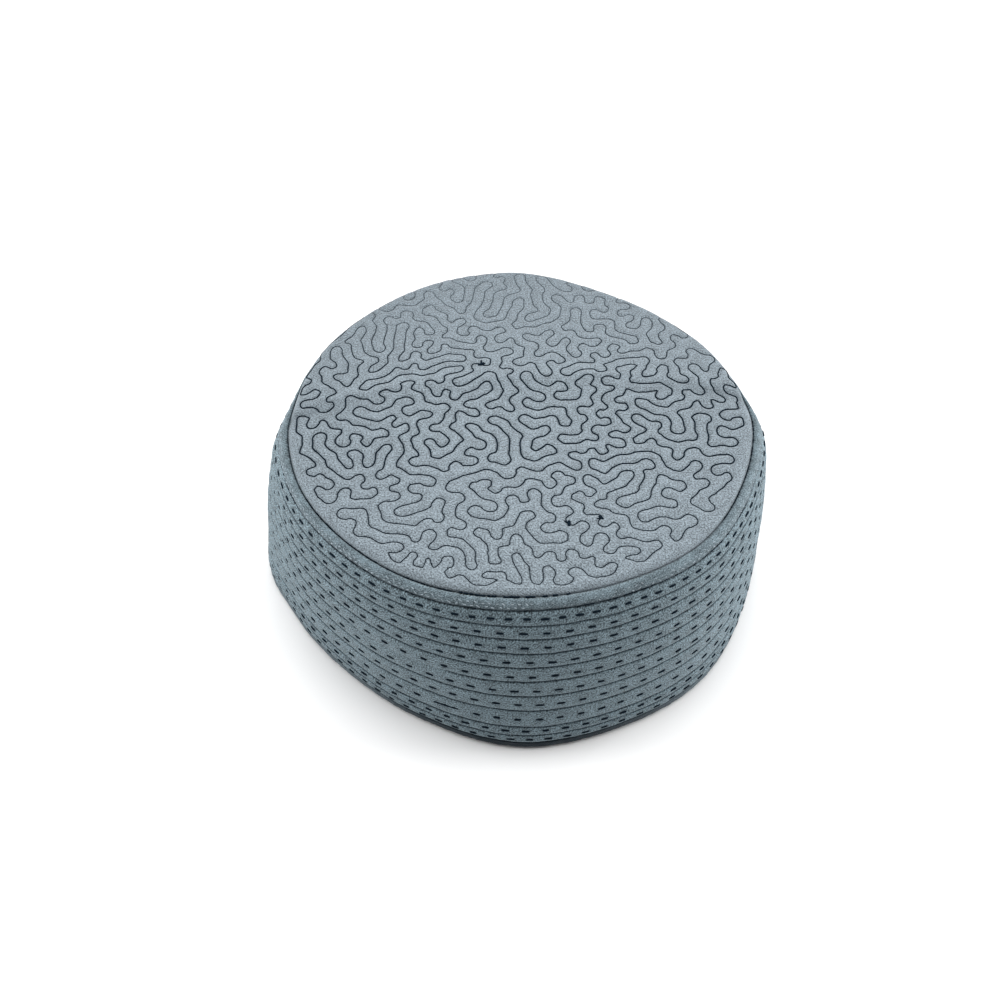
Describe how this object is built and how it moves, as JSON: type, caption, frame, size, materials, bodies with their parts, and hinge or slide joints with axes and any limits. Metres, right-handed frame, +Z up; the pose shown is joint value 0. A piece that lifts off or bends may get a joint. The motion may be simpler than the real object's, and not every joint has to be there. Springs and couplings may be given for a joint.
{
  "type": "prayer cap",
  "caption": "Brimless round prayer cap with a flat quilted crown, a rolled rim, a row-stitched side band and a narrow hem, open underneath.",
  "frame": {"origin": "middle of the cap's plan, on the surface that it stands on", "axes": "+Z up through the crown; the front, which faces the camera, looks along -Y; +X to the right of that view, along the fold line from crease to crease"},
  "size_m": [0.2022, 0.193, 0.0808],
  "materials": {
    "crown_cloth": "matte felted cotton, grey-blue, quilted",
    "rim_cloth": "matte felted cotton, grey-blue",
    "band_cloth": "matte felted cotton, grey-blue, row stitched",
    "hem_cloth": "matte felted cotton, grey-blue"
  },
  "bodies": {
    "root": {"crown_panel": "crown_cloth", "rim_roll": "rim_cloth", "side_band": "band_cloth", "hem_band": "hem_cloth"}
  },
  "joints": []
}
